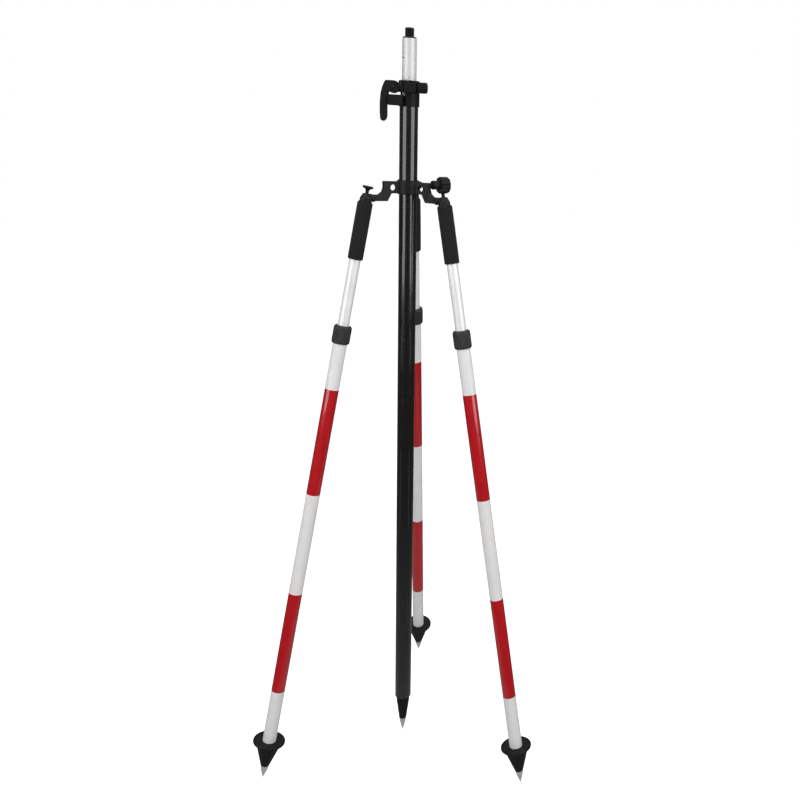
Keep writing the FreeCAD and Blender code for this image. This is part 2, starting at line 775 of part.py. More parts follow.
def build_leg_lower(side, tip):
    tube = size.outer_diameter / 2
    turned(side + "_outer_tube", sleeve(tube - size.outer_wall, tube, size.outer_foot,
                                        size.outer_top), tip)
    bands = []
    for name, foot in (("lower", size.lower_band_foot), ("upper", size.upper_band_foot)):
        film = sleeve(tube, tube + size.band_thickness, foot, foot + size.band_length)
        bands.append(turned("%s_%s_band" % (side, name), film, tip, export=False))
    grouped(side + "_red_bands", bands)

    collar = size.leg_collar_diameter / 2
    bevel = size.leg_collar_bevel
    bore = size.inner_diameter / 2 + size.running_gap
    turned(side + "_leg_collar", [
        (tube, size.collar_foot), (collar - bevel, size.collar_foot),
        (collar, size.collar_foot + bevel), (collar, size.leg_collar_top - bevel),
        (collar - bevel, size.leg_collar_top), (bore, size.leg_collar_top),
        (bore, size.outer_top), (tube, size.outer_top),
    ], tip)

    plate = size.plate_diameter / 2
    shank = size.spike_shank_diameter / 2
    shank_top = size.spike_length + size.spike_shank
    turned(side + "_foot_boot", [
        (shank, size.spike_length), (size.foot_cone_small / 2, size.spike_length),
        (size.foot_cone_large / 2, size.plate_foot), (plate - 1, size.plate_foot),
        (plate, size.plate_foot + 1), (plate, size.plate_top - 1), (plate - 1, size.plate_top),
        (tube, size.plate_top), (tube, size.outer_foot), (ZERO, size.outer_foot),
        (ZERO, shank_top), (shank, shank_top),
    ], tip)
    turned(side + "_foot_spike", [
        (ZERO, ZERO), (size.spike_diameter / 2, size.spike_length), (shank, size.spike_length),
        (shank, shank_top), (ZERO, shank_top),
    ], tip)


def build_pivot_pins():
    shaft = size.pin_diameter / 2
    head = size.pin_head_diameter / 2
    head_foot = size.cheek_span / 2 + size.running_gap * 4
    end = head_foot + size.pin_head_thickness
    pins = []
    for side, azimuth in LEG_AZIMUTHS.items():
        across = turn_about_z(azimuth) * FreeCAD.Rotation(FreeCAD.Vector(1, 0, 0), 90)
        outward = turn_about_z(azimuth).multVec(FreeCAD.Vector(size.hinge_radius.value, 0, 0))
        place = FreeCAD.Placement(outward + FreeCAD.Vector(0, 0, size.hinge_height.value), across)
        pins.append(turned(side + "_pivot_pin", [
            (ZERO, -end), (head, -end), (head, -head_foot), (shaft, -head_foot),
            (shaft, head_foot), (head, head_foot), (head, end), (ZERO, end),
        ], place, export=False))
    grouped("leg_pivot_pins", pins)


def build_legs():
    for side, azimuth in LEG_AZIMUTHS.items():
        top, tip = leg_frames(azimuth)
        build_leg_head(side, top)
        build_button(side, top)
        build_rod(side, top)
        build_lock_shoe(side, top)
        build_leg_upper(side, top)
        build_leg_lower(side, tip)


# ---------------------------------------------------------------- build, check and write

def check_and_export():
    doc.recompute()
    for item in doc.Objects:
        if "Invalid" in item.State or "Error" in item.State:
            raise RuntimeError("%s did not recompute: %s" % (item.Label, item.State))
    for item in exported:
        if item.Shape.isNull() or not item.Shape.isValid():
            raise RuntimeError("%s has no valid shape" % item.Label)
    os.makedirs("parts", exist_ok=True)
    for item in exported:
        item.Shape.exportStep("parts/%s.step" % item.Label)
        solids = len(item.Shape.Solids)
        print("%-24s %2d solid %10.1f mm3" % (item.Label, solids, item.Shape.Volume))


build_pole()
build_pole_upper()
build_clamp_body()
build_clamp_hardware()
build_cam_lever()
build_head()
build_liner()
build_knob()
build_pivot_pins()
build_legs()
check_and_export()
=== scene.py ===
import json
import math

import bmesh
import bpy
from mathutils import Matrix, Vector, noise


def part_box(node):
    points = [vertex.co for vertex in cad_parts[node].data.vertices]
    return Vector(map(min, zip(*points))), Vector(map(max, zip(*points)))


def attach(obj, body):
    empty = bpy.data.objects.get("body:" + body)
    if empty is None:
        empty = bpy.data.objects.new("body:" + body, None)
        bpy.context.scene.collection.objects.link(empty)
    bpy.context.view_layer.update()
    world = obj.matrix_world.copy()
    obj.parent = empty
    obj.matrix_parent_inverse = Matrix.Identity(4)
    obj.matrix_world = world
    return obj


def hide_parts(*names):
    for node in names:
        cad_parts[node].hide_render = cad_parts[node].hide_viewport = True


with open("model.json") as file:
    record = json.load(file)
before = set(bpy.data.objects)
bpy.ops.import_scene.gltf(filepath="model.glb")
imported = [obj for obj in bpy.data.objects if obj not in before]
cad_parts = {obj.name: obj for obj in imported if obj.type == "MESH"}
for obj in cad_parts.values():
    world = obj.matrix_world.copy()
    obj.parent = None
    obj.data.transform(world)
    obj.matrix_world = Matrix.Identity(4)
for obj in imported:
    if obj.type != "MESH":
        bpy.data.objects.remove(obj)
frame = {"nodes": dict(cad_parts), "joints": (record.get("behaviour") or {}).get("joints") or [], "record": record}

NODES = frame["nodes"]
JOINTS = {joint["name"]: joint for joint in frame["joints"]}
SIDES = ("left", "right", "back")
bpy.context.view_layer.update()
UP = Vector((0, 0, 1))
MM = 0.001
TURN = 2 * math.pi


# ---------------------------------------------------------------- places, read from the frame

class Axis:
    """A straight line in the row frame; it measures CAD nodes along itself and away from itself."""

    def __init__(self, origin, along, side=(1, 0, 0)):
        self.origin = Vector(origin)
        self.along = Vector(along).normalized()
        side = Vector(side)
        self.side = (side - self.along * self.along.dot(side)).normalized()
        self.third = self.along.cross(self.side)

    def point(self, radius, angle, height):
        across = self.side * math.cos(angle) + self.third * math.sin(angle)
        return self.origin + across * radius + self.along * height

    def heights(self, node):
        return [(v.co - self.origin).dot(self.along) for v in NODES[node].data.vertices]

    def span(self, node):
        heights = self.heights(node)
        return min(heights), max(heights)

    def radius(self, node, low=None, high=None):
        """The largest distance of the node's vertices from the line, between two heights."""
        best = 0.0
        for vertex, height in zip(NODES[node].data.vertices, self.heights(node)):
            if (low is None or height >= low) and (high is None or height <= high):
                offset = vertex.co - self.origin - self.along * height
                best = max(best, offset.length)
        return best


def middle(node):
    low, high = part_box(node)
    return (Vector(low) + Vector(high)) / 2


def leg_axes(side):
    """A leg's own line, with its heights counted from the spike's tip, and its pivot's line."""
    spread = JOINTS[side + "_leg_spread"]
    along = -Vector(JOINTS[side + "_leg_length"]["axis"])
    outward = Vector(spread["axis"]).cross(along)
    pin = Vector(spread["pos_m"])
    if outward.dot(Vector((pin.x, pin.y, 0))) < 0:
        outward = -outward
    tube = middle(side + "_inner_tube")
    tip_height = min((v.co - tube).dot(along) for v in NODES[side + "_foot_spike"].data.vertices)
    leg = Axis(tube + along * tip_height, along, outward)
    pivot = Axis(pin, spread["axis"], UP)
    return leg, pivot


POLE = Axis((0, 0, 0), UP, (0, -1, 0))
LEGS = {side: leg_axes(side) for side in SIDES}


# ---------------------------------------------------------------- mesh making

def add_object(name, mesh, body, slot, replaced=(), sharp=35):
    obj = bpy.data.objects.new(name, mesh)
    bpy.context.scene.collection.objects.link(obj)
    for polygon in mesh.polygons:
        polygon.use_smooth = True
    mesh.set_sharp_from_angle(angle=math.radians(sharp))
    mesh.materials.clear()
    mesh.materials.append(MATERIALS[slot])
    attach(obj, body)
    if replaced:
        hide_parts(*replaced)
    return obj


def softened(points, closed, steps=5):
    """Round a profile's corners. A point is (radius, height, corner radius, pattern weight)."""
    points = [tuple(p) + (0.0,) * (4 - len(p)) for p in points]
    count = len(points)
    result = []
    for index, (r, h, corner, weight) in enumerate(points):
        at_end = not closed and index in (0, count - 1)
        if corner <= 0 or at_end:
            result.append((r, h, weight))
            continue
        here = Vector((r, h))
        before = Vector(points[index - 1][:2]) - here
        after = Vector(points[(index + 1) % count][:2]) - here
        reach = min(corner, before.length * 0.49, after.length * 0.49)
        start = here + before.normalized() * reach
        end = here + after.normalized() * reach
        for step in range(steps + 1):
            t = step / steps
            p = start * (1 - t) ** 2 + here * (2 * t * (1 - t)) + end * t ** 2
            result.append((max(p.x, 0.0), p.y, weight))
    return result


def turned_mesh(name, axis, points, closed=False, segments=96, pattern=None, steps=5):
    """Turn a profile about an axis. pattern(angle) is cut into the radius by each point's weight."""
    profile = softened(points, closed, steps)
    verts, rings = [], []
    widest = max(r for r, _, _ in profile)
    for r, h, weight in profile:
        if r < 1e-7:
            rings.append([len(verts)])
            verts.append(axis.point(0, 0, h))
            continue
        ring = []
        for k in range(segments):
            angle = TURN * k / segments
            cut = pattern(angle, h) * weight if pattern and weight else 0.0
            ring.append(len(verts))
            verts.append(axis.point(r - cut, angle, h))
        rings.append(ring)
    faces, coordinates = [], []
    count = len(rings)
    travelled = 0.0
    for i in range(count if closed else count - 1):
        low, high = rings[i], rings[(i + 1) % count]
        a, b = profile[i], profile[(i + 1) % count]
        step = math.hypot(b[0] - a[0], b[1] - a[1])
        if step < 1e-9:
            continue
        v0, v1 = travelled, travelled + step
        travelled = v1
        for k in range(segments):
            n = (k + 1) % segments
            u0, u1 = widest * TURN * k / segments, widest * TURN * (k + 1) / segments
            if len(low) == 1 and len(high) == 1:
                break
            if len(low) == 1:
                faces.append((low[0], high[n], high[k]))
                coordinates += [((u0 + u1) / 2, v0), (u1, v1), (u0, v1)]
            elif len(high) == 1:
                faces.append((low[k], low[n], high[0]))
                coordinates += [(u0, v0), (u1, v0), ((u0 + u1) / 2, v1)]
            else:
                faces.append((low[k], low[n], high[n], high[k]))
                coordinates += [(u0, v0), (u1, v0), (u1, v1), (u0, v1)]
    mesh = bpy.data.meshes.new(name)
    mesh.from_pydata(verts, [], faces)
    layer = mesh.uv_layers.new(name="UVMap")
    for loop, place in zip(layer.data, coordinates):
        loop.uv = place
    face_outward(mesh)
    return mesh


def face_outward(mesh):
    work = bmesh.new()
    work.from_mesh(mesh)
    bmesh.ops.recalc_face_normals(work, faces=work.faces)
    work.to_mesh(mesh)
    work.free()


def turned(name, axis, points, body, slot, replaced=(), **options):
    sharp = options.pop("sharp", 35)
    mesh = turned_mesh(name, axis, points, **options)
    return add_object(name, mesh, body, slot, replaced, sharp)


def tube(name, axis, node, wall, body, slot, edge=0.4 * MM, **options):
    """A drawn tube with its two ends deburred, in place of a CAD tube."""
    low, high = axis.span(node)
    outside = axis.radius(node)
    inside = outside - wall
    steps = max(2, int((high - low) / 0.05))
    wallside = [(outside, low + (high - low) * k / steps) for k in range(1, steps)]
    points = [(inside, low, edge), (outside, low, edge), *wallside, (outside, high, edge),
              (inside, high, edge)]
    return turned(name, axis, points, body, slot, (node,), closed=True, **options)


def moulded(name, node, body, slot, voxel=0.35 * MM, rounds=6, sharp=180):
    """A casting or moulding: the CAD solid with its edges and inner corners rounded over."""
    mesh = NODES[node].data.copy()
    work = bpy.data.objects.new(name + "_work", mesh)
    bpy.context.scene.collection.objects.link(work)
    weld = work.modifiers.new("weld", "WELD")
    weld.merge_threshold = 1e-6
    remesh = work.modifiers.new("remesh", "REMESH")
    remesh.mode = "VOXEL"
    remesh.voxel_size = voxel
    smooth = work.modifiers.new("smooth", "SMOOTH")
    smooth.factor = 0.5
    smooth.iterations = rounds
    thin = work.modifiers.new("thin", "DECIMATE")
    thin.ratio = 0.35
    graph = bpy.context.evaluated_depsgraph_get()
    result = bpy.data.meshes.new_from_object(work.evaluated_get(graph))
    result.name = name
    bpy.data.objects.remove(work)
    return add_object(name, result, body, slot, (node,), sharp)


def flutes(count, sharpness=1.0):
    """Round grooves side by side, as on a grip: 0 on the crests and 1 in the grooves."""
    def pattern(angle, height):
        return (0.5 - 0.5 * math.cos(count * angle)) ** sharpness
    return pattern


# ---------------------------------------------------------------- materials

class Shader:
    """A small wrapper that adds linked nodes to a material."""

    def __init__(self, name):
        self.material = bpy.data.materials.new(name)
        self.material.use_nodes = True
        self.tree = self.material.node_tree
        self.tree.nodes.clear()
        self.surface = self.node("ShaderNodeBsdfPrincipled")
        output = self.node("ShaderNodeOutputMaterial")
        self.link(self.surface.outputs[0], output.inputs["Surface"])
        self.place = self.node("ShaderNodeTexCoord")

    def node(self, kind, **values):
        node = self.tree.nodes.new(kind)
        for key, value in values.items():
            setattr(node, key, value)
        return node

    def link(self, start, end):
        self.tree.links.new(start, end)

    def set(self, **values):
        for key, value in values.items():
            self.surface.inputs[key.replace("_", " ")].default_value = value

    def coordinates(self, source="Object", scale=(1, 1, 1)):
        mapping = self.node("ShaderNodeMapping")
        mapping.inputs["Scale"].default_value = scale
        self.link(self.place.outputs[source], mapping.inputs["Vector"])
        return mapping.outputs[0]

    def noise(self, scale, detail=3.0, roughness=0.55, source="Object", stretch=(1, 1, 1)):
        texture = self.node("ShaderNodeTexNoise")
        texture.inputs["Scale"].default_value = scale
        texture.inputs["Detail"].default_value = detail
        texture.inputs["Roughness"].default_value = roughness
        self.link(self.coordinates(source, stretch), texture.inputs["Vector"])
        return texture.outputs[0]

    def cells(self, scale, feature="F1"):
        texture = self.node("ShaderNodeTexVoronoi", feature=feature)
        texture.inputs["Scale"].default_value = scale
        self.link(self.coordinates(), texture.inputs["Vector"])
        return texture.outputs["Distance"]

    def ramp(self, value, *stops):
        """Stops are (position, colour); a colour may be one grey number."""
        ramp = self.node("ShaderNodeValToRGB")
        elements = ramp.color_ramp.elements
        while len(elements) < len(stops):
            elements.new(0.5)
        for element, (position, colour) in zip(elements, stops):
            element.position = position
            if not isinstance(colour, tuple):
                colour = (colour,) * 3
            element.color = (*colour, 1.0)
        self.link(value, ramp.inputs[0])
        return ramp.outputs[0]

    def mix(self, factor, first, second):
        mix = self.node("ShaderNodeMix", data_type="RGBA")
        for socket, value in ((mix.inputs[0], factor), (mix.inputs[6], first),
                              (mix.inputs[7], second)):
            if hasattr(value, "node"):
                self.link(value, socket)
            else:
                socket.default_value = (*value, 1.0) if isinstance(value, tuple) else value
        return mix.outputs[2]

    def bump(self, *layers):
        """Layers are (height, strength, distance in metres), from the coarsest to the finest."""
        normal = None
        for height, strength, distance in layers:
            bump = self.node("ShaderNodeBump")
            bump.inputs["Strength"].default_value = strength
            bump.inputs["Distance"].default_value = distance
            self.link(height, bump.inputs["Height"])
            if normal is not None:
                self.link(normal, bump.inputs["Normal"])
            normal = bump.outputs[0]
        self.link(normal, self.surface.inputs["Normal"])

    def colour(self, value):
        self.link(value, self.surface.inputs["Base Color"])

    def roughness(self, value):
        self.link(value, self.surface.inputs["Roughness"])


def enamel(name, light, dark, smooth, rough, level, coat=0.2):
    """Sprayed gloss enamel: a faint mottle, orange peel and hairline handling scratches."""
    s = Shader(name)
    s.set(Specular_IOR_Level=level, Coat_Weight=coat, Coat_Roughness=0.1)
    s.colour(s.ramp(s.noise(35, 4), (0.35, dark), (0.65, light)))
    scratches = s.ramp(s.noise(900, 2, 0.7, "UV", (1.0, 0.04, 1.0)), (0.62, 0.0), (0.72, 1.0))
    cloudy = s.ramp(s.noise(60, 5), (0.3, smooth), (0.75, rough))
    s.roughness(s.mix(scratches, cloudy, (rough * 1.5,) * 3))
    s.bump((s.noise(420, 2), 0.025, 0.0004), (scratches, 0.015, 0.0002))
    return s.material


def drawn_aluminium(name, light, dark):
    """Anodised drawn tube: die lines run along it, with faint cloudy handling marks."""
    s = Shader(name)
    s.set(Metallic=0.25, Specular_IOR_Level=0.6)
    lines = s.noise(1400, 3, 0.7, "UV", (1.0, 0.004, 1.0))
    cloud = s.noise(28, 4)
    s.colour(s.ramp(cloud, (0.35, light), (0.7, dark)))
    s.roughness(s.ramp(lines, (0.25, 0.36), (0.75, 0.46)))
    s.bump((lines, 0.03, 0.00005))
    return s.material


def turned_metal(name, light, dark, smooth, rough, metallic=1.0):
    """Lathe-turned metal: fine rings round the axis, slightly stained."""
    s = Shader(name)
    s.set(Metallic=metallic)
    rings = s.noise(2600, 2, 0.6, "UV", (0.01, 1.0, 1.0))
    stain = s.noise(180, 4)
    s.colour(s.ramp(stain, (0.3, dark), (0.7, light)))
    s.roughness(s.ramp(rings, (0.25, smooth), (0.75, rough)))
    s.bump((stain, 0.05, 0.0003), (rings, 0.25, 0.0001))
    return s.material


def moulded_plastic(name, light, dark, grain=1500, level=0.16):
    """Glass-filled nylon with a fine spark-eroded grain and slightly polished high spots."""
    s = Shader(name)
    s.set(Specular_IOR_Level=level)
    s.colour(s.ramp(s.noise(90, 4), (0.3, dark), (0.7, light)))
    s.roughness(s.ramp(s.noise(140, 5), (0.3, 0.40), (0.7, 0.56)))
    s.bump((s.noise(160, 2), 0.05, 0.0005), (s.cells(grain), 0.22, 0.00012))
    return s.material


def foam(name):
    """Closed-cell foam: matt, finely pitted, with a few larger open pores; painted shade darkens the colour in the
    pits.
    """
    s = Shader(name)
    s.set(Specular_IOR_Level=0.08, Sheen_Weight=0.05, Sheen_Roughness=0.5)
    pores = s.cells(1100)
    pit_depth_and_shade = s.ramp(pores, (0.05, 0.0), (0.38, 1.0))
    # painted shade: the colour is darker in the pits, where the same mask sinks the bump
    s.colour(s.mix(pit_depth_and_shade, (0.006, 0.006, 0.0065), (0.0155, 0.0152, 0.0153)))
    s.roughness(s.ramp(s.noise(220, 4), (0.3, 0.82), (0.7, 0.95)))
    s.bump((s.noise(120, 3), 0.18, 0.0008), (s.noise(480, 2), 0.25, 0.0004), (pit_depth_and_shade, 0.45, 0.0003))
    return s.material


def casting(name, light, dark):
    """Painted die casting: cast orange peel under satin paint, rubbed brighter in places."""
    s = Shader(name)
    s.set(Specular_IOR_Level=0.2)
    s.colour(s.ramp(s.noise(70, 5), (0.3, dark), (0.72, light)))
    s.roughness(s.ramp(s.noise(110, 5), (0.3, 0.34), (0.7, 0.5)))
    s.bump((s.noise(260, 3), 0.18, 0.0005), (s.noise(1200, 2), 0.12, 0.0002))
    return s.material


def floor_paper(name):
    """Seamless studio paper with the faintest tooth, lit from behind so that it stays white."""
    s = Shader(name)
    s.set(Specular_IOR_Level=0.05, Emission_Color=(1, 1, 1, 1))
    s.colour(s.ramp(s.noise(9, 3), (0.3, 0.90), (0.7, 0.93)))
    s.roughness(s.ramp(s.noise(60, 4), (0.3, 0.9), (0.7, 1.0)))
    s.link(s.ramp(s.noise(9, 3), (0.3, 0.62), (0.7, 0.66)),
           s.surface.inputs["Emission Strength"])
    s.bump((s.noise(700, 2), 0.03, 0.0003))
    return s.material


def grey(value, warmth=0.0):
    """A near-neutral colour, a little bluer when warmth is negative."""
    return (value * (1 + warmth), value, value * (1 - warmth))


BLACK = (grey(0.0085), grey(0.0062, -0.01))
MATERIALS = {
    "black_enamel": enamel("black_enamel", grey(0.0048), grey(0.0038, -0.02), 0.2, 0.28, 0.7, 0.95),
    "white_enamel": enamel("white_enamel", (0.70, 0.69, 0.683), (0.672, 0.662, 0.656),
                           0.26, 0.36, 0.3, 0.1),
    "red_enamel": enamel("red_enamel", (0.43, 0.004, 0.0085), (0.38, 0.0035, 0.0075),
                         0.14, 0.2, 0.5, 1.0),
    "bright_aluminium": drawn_aluminium("bright_aluminium", grey(0.65, -0.005), grey(0.59, -0.008)),
    "leg_aluminium": drawn_aluminium("leg_aluminium", grey(0.82, -0.005), grey(0.75, -0.008)),
    "black_anodised": turned_metal("black_anodised", grey(0.045, -0.02), grey(0.03, -0.02),
                                   0.35, 0.5),
    "black_nylon": moulded_plastic("black_nylon", *BLACK),
    "black_foam": foam("black_foam"),
    "head_casting": casting("head_casting", grey(0.0115, -0.01), grey(0.0075, -0.02)),
    "foot_casting": moulded_plastic("foot_casting", *BLACK, 900),
    "ground_steel": turned_metal("ground_steel", (0.66, 0.66, 0.65), (0.54, 0.54, 0.53),
                                 0.32, 0.46, 0.5),
    "collar_nylon": moulded_plastic("collar_nylon", grey(0.032), grey(0.022, -0.01), 1100, 0.25),
    "black_oxide": turned_metal("black_oxide", grey(0.040, -0.02), grey(0.022, -0.02), 0.34, 0.5),
    "white_acetal": moulded_plastic("white_acetal", (0.78, 0.77, 0.73), (0.72, 0.71, 0.67),
                                    700, 0.4),
}


# ---------------------------------------------------------------- pole

def detent_hole():
    """Where the small hole through the upper tube's wall is: its middle, direction and radius."""
    low, high = POLE.span("inner_pole_tube")
    rim = [v.co for v in NODES["inner_pole_tube"].data.vertices
           if low + 1 * MM < v.co.z < high - 1 * MM]
    centre = sum(rim, Vector()) / len(rim)
    radius = max(abs(co.z - centre.z) for co in rim)
    return centre, Vector((centre.x, centre.y, 0)).normalized(), radius


def drill(obj, centre, direction, radius):
    """Cut a round hole with a small countersink through the nearest wall of a piece."""
    axis = Axis(centre, direction, UP)
    mesh = turned_mesh("drill", axis, [
        (0, -4 * MM), (radius, -4 * MM), (radius, 0.15 * MM), (radius + 1 * MM, 1.15 * MM),
        (radius + 1 * MM, 4 * MM), (0, 4 * MM),
    ], segments=48)
    tool = bpy.data.objects.new("drill", mesh)
    bpy.context.scene.collection.objects.link(tool)
    cut = obj.modifiers.new("drill", "BOOLEAN")
    cut.operation = "DIFFERENCE"
    cut.solver = "EXACT"
    cut.object = tool
    graph = bpy.context.evaluated_depsgraph_get()
    result = bpy.data.meshes.new_from_object(obj.evaluated_get(graph))
    obj.modifiers.clear()
    obj.data = result
    bpy.data.objects.remove(tool)


def ogive(tip, base, radius):
    """A ground steel point: a small blunt tip and sides that bow out to the full radius."""
    length = base - tip - 1.2 * MM
    sides = [(radius * (1 - (1 - t) ** 1.3), tip + length * t) for t in
             (0.1, 0.2, 0.3, 0.42, 0.54, 0.66, 0.78, 0.9, 1.0)]
    return [(0, tip), (radius * 0.07, tip + 0.3 * MM, 0.2 * MM), *sides]


def build_pole():
    tube("pole_tube", POLE, "pole_outer_tube", 1.5 * MM, "pole", "black_enamel", 0.5 * MM,
         segments=128)
    upper = tube("upper_tube", POLE, "inner_pole_tube", 1.5 * MM, "pole_upper",
                 "bright_aluminium", segments=128)
    drill(upper, *detent_hole())

    low, high = POLE.span("pole_boot")
    foot = POLE.span("pole_outer_tube")[0]
    shoulder = foot - 10 * MM
    wide = POLE.radius("pole_boot", shoulder - 0.1 * MM, shoulder + 0.1 * MM)
    nose = POLE.radius("pole_boot", low - 0.1 * MM, low + 0.1 * MM)
    groove = foot - 3 * MM
    turned("pole_nose", POLE, [
        (4.0 * MM, low), (nose - 0.4 * MM, low), (nose, low + 0.8 * MM, 0.6 * MM),
        (wide, shoulder, 3 * MM), (wide, groove - 0.8 * MM, 0.2 * MM),
        (wide - 0.5 * MM, groove, 0.2 * MM), (wide, groove + 0.8 * MM, 0.2 * MM),
        (wide, foot), (wide - 2 * MM, foot), (wide - 2 * MM, high - 1 * MM), (0, high - 1 * MM),
    ], "pole", "black_nylon", ("pole_boot",))

    low, high = POLE.span("pole_point")
    thick = POLE.radius("pole_point")
    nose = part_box("pole_boot")[0][2]
    turned("pole_tip", POLE, [
        *ogive(low, nose, thick), (thick, nose - 0.1 * MM),
        (4.0 * MM, nose), (4.0 * MM, high), (0, high),
    ], "pole", "ground_steel", ("pole_point",))


def build_stud():
    """The top stud with its real 11-per-inch thread, a run-out groove and a chamfered end."""
    pitch = 25.4 / 11 * MM
    _, top = POLE.span("instrument_stud")
    tube_top = POLE.span("inner_pole_tube")[1]
    flange = POLE.radius("instrument_stud")
    flange_top = tube_top + 2.5 * MM
    major = POLE.radius("instrument_stud", flange_top + 1 * MM)
    depth = 0.4 * pitch
    bevel = 1.2 * MM

    def thread(angle, height):
        turn = (height - flange_top) / pitch - angle / TURN
        saw = abs((turn % 1.0) - 0.5) * 2
        return min(max(saw * 1.6 - 0.5, 0.0), 1.0)

    start, end = flange_top + 1.6 * MM, top - 0.2 * MM
    rows = int((end - start) / pitch * 14)
    threaded = []
    for k in range(rows + 1):
        h = start + (end - start) * k / rows
        fade = min(1.0, (h - start) / (0.7 * MM))
        limit = major - max(0.0, h - (top - bevel))
        threaded.append((limit, h, 0.0, depth * fade))
    socket = 3.2 * MM
    turned("stud", POLE, [
        (0, tube_top - 20 * MM), (10.9 * MM, tube_top - 20 * MM), (10.9 * MM, tube_top),
        (flange - 0.2 * MM, tube_top), (flange, tube_top + 0.4 * MM, 0.2 * MM),
        (flange, flange_top - 0.5 * MM, 0.4 * MM), (flange - 0.6 * MM, flange_top, 0.3 * MM),
        (major - 0.8 * MM, flange_top, 0.3 * MM), (major - 0.8 * MM, start - 0.5 * MM, 0.2 * MM),
        *threaded,
        (major - bevel - depth, top, 0.2 * MM), (socket, top, 0.3 * MM),
        (socket - 0.6 * MM, top - 1.2 * MM, 0.4 * MM), (0, top - 1.6 * MM),
    ], "pole_upper", "black_anodised", ("instrument_stud",), segments=144, pattern=thread, sharp=50)


def build_clamp():
    moulded("clamp_band", "lever_clamp_body", "pole", "black_nylon")
    moulded("clamp_lever", "cam_lever", "lever", "black_nylon", rounds=9)
    place = middle("clamp_nut")
    axis = Axis((0, place.y, place.z), (1, 0, 0), UP)
    low, high = axis.span("clamp_nut")
    r = axis.radius("clamp_nut")
    cut = 0.9 * MM
    turned("clamp_thumb_nut", axis, [
        (2.6 * MM, low), (r - 3 * MM, low, 0.4 * MM), (r - 2.2 * MM, low + 1.6 * MM, 0.4 * MM),
        (r - 0.8 * MM, low + 2.2 * MM, 0.6 * MM, 0), (r, low + 3.4 * MM, 0.6 * MM, cut),
        (r, (low + high) / 2, 0, cut), (r, high - 2.2 * MM, 0.8 * MM, cut),
        (r - 1.2 * MM, high - 0.5 * MM, 0.6 * MM, 0), (r - 3.5 * MM, high, 0.6 * MM),
        (r - 4.3 * MM, high - 0.8 * MM, 0.4 * MM), (0, high - 0.9 * MM),
    ], "pole", "black_nylon", ("clamp_nut",), segments=180, pattern=flutes(18, 0.7))

    pin = middle("cam_pin")
    axis = Axis(pin, (0, 1, 0), UP)
    low, high = axis.span("cam_pin")
    r = axis.radius("cam_pin")
    turned("lever_pin", axis, [
        (0, low + 0.5 * MM), (r * 0.45, low + 0.25 * MM, 0.3 * MM), (r * 0.6, low, 0.2 * MM),
        (r, low + 0.35 * MM, 0.3 * MM), (r, high - 0.35 * MM, 0.3 * MM), (r * 0.6, high, 0.2 * MM),
        (0, high),
    ], "pole", "black_oxide", ("cam_pin",), segments=64)


# ---------------------------------------------------------------- head

def socket_cap(name, axis, low, high, radius):
    """A pivot screw's button head with a hexagon socket; low is its face against the cheek."""
    hexagon = radius * 0.42
    segments = 72

    def hex_pattern(angle, height):
        sector = (angle % (TURN / 6)) - TURN / 12
        return 1.0 - math.cos(TURN / 12) / math.cos(sector)

    deep = low + (high - low) * 0.25
    return turned_mesh(name, axis, [
        (0, low), (radius - 0.15 * MM, low), (radius, low + (high - low) * 0.12, 0.1 * MM),
        (radius * 0.97, low + (high - low) * 0.45, 0.4 * MM),
        (radius * 0.72, high - (high - low) * 0.06, 0.8 * MM), (hexagon * 1.12, high, 0.2 * MM),
        (hexagon, high - (high - low) * 0.1, 0, hexagon), (hexagon, deep, 0, hexagon), (0, deep),
    ], segments=segments, pattern=hex_pattern)


def build_head():
    moulded("head_hub", "head_casting", "head", "head_casting", 0.45 * MM, 5)

    low, high = POLE.span("head_liner")
    inside, flange = 16.05 * MM, POLE.radius("head_liner")
    hub_low, hub_high = low + 1.3 * MM, high - 1.3 * MM
    back = 17.15 * MM
    turned("hub_liner", POLE, [
        (inside, low, 0.4 * MM), (flange, low, 0.5 * MM), (flange, hub_low, 0.1 * MM),
        (back, hub_low), (back, hub_high), (flange, hub_high, 0.1 * MM), (flange, high, 0.5 * MM),
        (inside, high, 0.4 * MM),
    ], "swivel", "black_nylon", ("head_liner",), closed=True, segments=128)

    meshes = []
    for side in SIDES:
        pivot = LEGS[side][1]
        reach = max(abs(h) for h in pivot.heights("leg_pivot_pins") if abs(h) < 0.02)
        head = 4.5 * MM
        seat = reach - 1.8 * MM
        for sign in (1, -1):
            axis = Axis(pivot.origin, pivot.along * sign, pivot.side)
            meshes.append(socket_cap("cap", axis, seat, reach, head))
        shaft = turned_mesh("shaft", pivot, [(0, -seat), (2.5 * MM, -seat), (2.5 * MM, seat),
                                             (0, seat)], segments=48)
        meshes.append(shaft)
    add_object("pivot_screws", joined_mesh("pivot_screws", meshes), "head", "black_oxide",
               ("leg_pivot_pins",))

    build_knob()


def joined_mesh(name, meshes):
    work = bmesh.new()
    for mesh in meshes:
        work.from_mesh(mesh)
    result = bpy.data.meshes.new(name)
    work.to_mesh(result)
    work.free()
    for mesh in meshes:
        bpy.data.meshes.remove(mesh)
    return result


